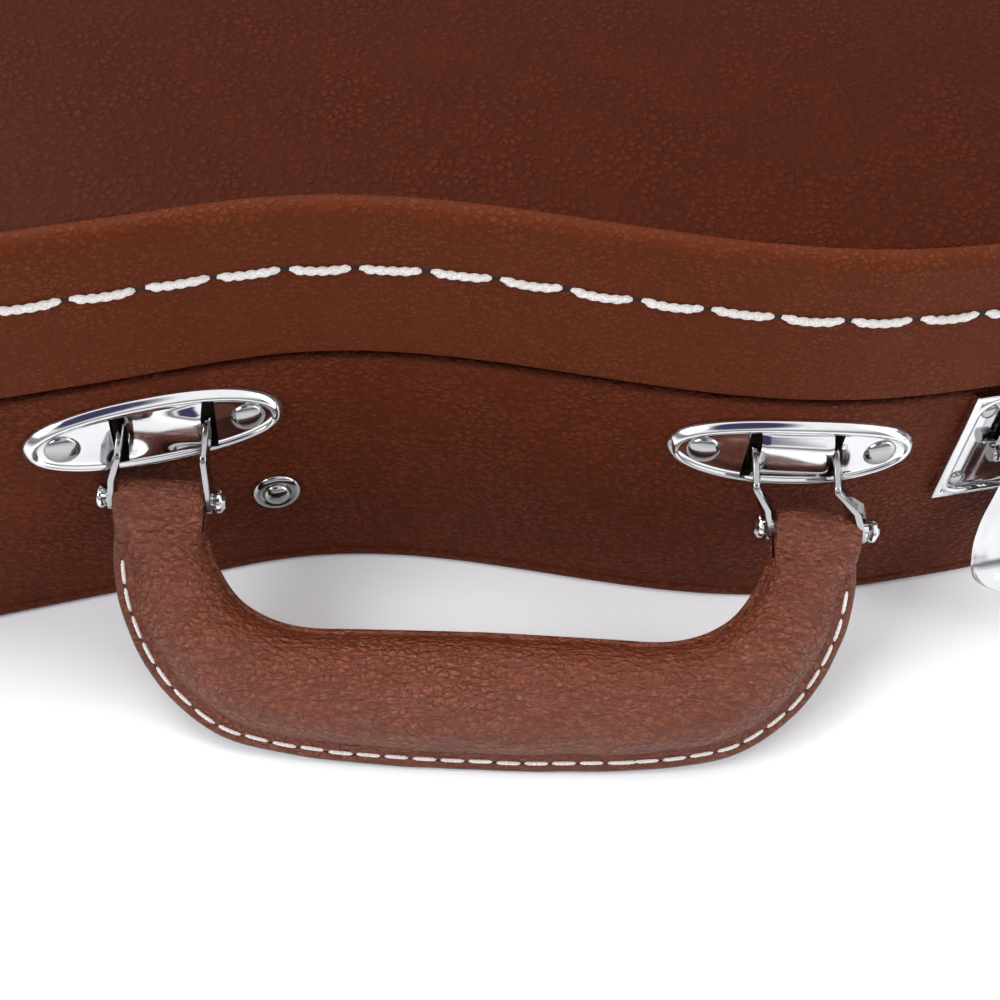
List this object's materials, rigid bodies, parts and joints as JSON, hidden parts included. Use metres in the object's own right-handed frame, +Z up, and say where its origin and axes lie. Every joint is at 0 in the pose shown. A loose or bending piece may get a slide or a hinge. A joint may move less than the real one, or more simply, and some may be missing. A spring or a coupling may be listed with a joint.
{
  "type": "guitar case",
  "caption": "Hardshell acoustic guitar case lying on its back: arched lid, side latches, leather-covered D-shaped handle on chrome plates, padded lining.",
  "frame": {"origin": "underside of the case, on the centreline, at mid-length", "axes": "+X towards the headstock end, -Y towards the handle side, +Z up through the lid"},
  "size_m": [1.1238, 0.4587, 0.1379],
  "materials": {
    "case_cover": "pebbled, low sheen",
    "handle_leather": "wrinkled pebble grain, soft sheen",
    "chrome_hardware": "polished",
    "plush_lining": "short plush",
    "plywood": "bare",
    "rubber_feet": "matte"
  },
  "bodies": {
    "body": {"bottom_panel": "case_cover", "body_side_wall": "case_cover", "locating_lip": "plywood", "bottom_liner": "plush_lining", "side_liner": "plush_lining", "neck_cradle": "plush_lining", "pocket_walls": "plush_lining", "pocket_cover": "plush_lining", "spine_feet": "rubber_feet", "hinge_body_leaves": "chrome_hardware", "hinge_pins": "chrome_hardware", "latch_base_1": "chrome_hardware", "latch_base_2": "chrome_hardware", "latch_base_3": "chrome_hardware", "latch_base_4": "chrome_hardware", "latch_base_5": "chrome_hardware", "handle_plate_left": "chrome_hardware", "handle_plate_right": "chrome_hardware", "plate_rivets": "chrome_hardware", "side_rivet": "chrome_hardware", "side_washer": "chrome_hardware"},
    "lid": {"lid_top_panel": "case_cover", "lid_side_band": "case_cover", "lid_edge_bead": "case_cover", "lid_liner": "plush_lining", "hinge_lid_leaves": "chrome_hardware", "latch_catch_1": "chrome_hardware", "latch_catch_2": "chrome_hardware", "latch_catch_3": "chrome_hardware", "latch_catch_4": "chrome_hardware", "latch_catch_5": "chrome_hardware"},
    "lever_1": {"latch_lever_1": "chrome_hardware"},
    "hook_1": {"latch_hook_1": "chrome_hardware"},
    "lever_2": {"latch_lever_2": "chrome_hardware"},
    "hook_2": {"latch_hook_2": "chrome_hardware"},
    "lever_3": {"latch_lever_3": "chrome_hardware"},
    "hook_3": {"latch_hook_3": "chrome_hardware"},
    "lever_4": {"latch_lever_4": "chrome_hardware"},
    "hook_4": {"latch_hook_4": "chrome_hardware"},
    "lever_5": {"latch_lever_5": "chrome_hardware"},
    "hook_5": {"latch_hook_5": "chrome_hardware"},
    "bail_left": {"bail_left": "chrome_hardware", "bail_pin_left": "chrome_hardware"},
    "bail_right": {"bail_right": "chrome_hardware", "bail_pin_right": "chrome_hardware"},
    "handle": {"handle_grip": "handle_leather", "handle_loop_left": "handle_leather", "handle_loop_right": "handle_leather"},
    "pocket_lid": {"pocket_lid": "plush_lining", "pocket_tab": "plush_lining"}
  },
  "joints": [
    {"name": "lid_hinge", "type": "hinge", "parent": "body", "child": "lid", "pos_m": [-0.089, 0.17687, 0.08225], "axis": [-0.9898, 0.1427, 0], "range_deg": [0, 105]},
    {"name": "lever_1", "type": "hinge", "parent": "body", "child": "lever_1", "pos_m": [-0.3947, -0.21781, 0.072], "axis": [-0.9989, -0.0474, 0], "range_deg": [0, 95]},
    {"name": "hook_1", "type": "hinge", "parent": "lever_1", "child": "hook_1", "pos_m": [-0.3948, -0.21561, 0.0605], "axis": [-0.9989, -0.0474, 0], "range_deg": [-115, 0]},
    {"name": "lever_2", "type": "hinge", "parent": "body", "child": "lever_2", "pos_m": [-0.03722, -0.16443, 0.072], "axis": [-0.9606, -0.2781, 0], "range_deg": [0, 95]},
    {"name": "hook_2", "type": "hinge", "parent": "lever_2", "child": "hook_2", "pos_m": [-0.03783, -0.16232, 0.0605], "axis": [-0.9606, -0.2781, 0], "range_deg": [-115, 0]},
    {"name": "lever_3", "type": "hinge", "parent": "body", "child": "lever_3", "pos_m": [0.22509, -0.07565, 0.072], "axis": [-0.9999, -0.0148, 0], "range_deg": [0, 95]},
    {"name": "hook_3", "type": "hinge", "parent": "lever_3", "child": "hook_3", "pos_m": [0.22506, -0.07345, 0.0605], "axis": [-0.9999, -0.0148, 0], "range_deg": [-115, 0]},
    {"name": "lever_4", "type": "hinge", "parent": "body", "child": "lever_4", "pos_m": [-0.54765, 0, 0.072], "axis": [0, 1, 0], "range_deg": [0, 95]},
    {"name": "hook_4", "type": "hinge", "parent": "lever_4", "child": "hook_4", "pos_m": [-0.54545, 0, 0.0605], "axis": [0, 1, 0], "range_deg": [-115, 0]},
    {"name": "lever_5", "type": "hinge", "parent": "body", "child": "lever_5", "pos_m": [0.54765, 0, 0.072], "axis": [0, -1, 0], "range_deg": [0, 95]},
    {"name": "hook_5", "type": "hinge", "parent": "lever_5", "child": "hook_5", "pos_m": [0.54545, 0, 0.0605], "axis": [0, -1, 0], "range_deg": [-115, 0]},
    {"name": "bail_left_tilt", "type": "hinge", "parent": "body", "child": "bail_left", "pos_m": [-0.25955, -0.1725, 0.0637], "axis": [-1, 0, 0], "range_deg": [0, 50]},
    {"name": "bail_right_tilt", "type": "hinge", "parent": "body", "child": "bail_right", "pos_m": [-0.104, -0.1725, 0.0637], "axis": [-1, 0, 0], "range_deg": [0, 50]},
    {"name": "handle_swing", "type": "hinge", "parent": "bail_left", "child": "handle", "pos_m": [-0.17835, -0.183, 0.0477], "axis": [-1, 0, 0], "range_deg": [-25, 80]},
    {"name": "pocket_lid_hinge", "type": "hinge", "parent": "body", "child": "pocket_lid", "pos_m": [0.15, 0, 0.055], "axis": [0, -1, 0], "range_deg": [0, 90]}
  ],
  "couplings": [
    {"joint": "hook_1", "follows": "lever_1", "ratio": -1.2},
    {"joint": "hook_2", "follows": "lever_2", "ratio": -1.2},
    {"joint": "hook_3", "follows": "lever_3", "ratio": -1.2},
    {"joint": "hook_4", "follows": "lever_4", "ratio": -1.2},
    {"joint": "hook_5", "follows": "lever_5", "ratio": -1.2},
    {"joint": "bail_right_tilt", "follows": "bail_left_tilt", "ratio": 1}
  ]
}
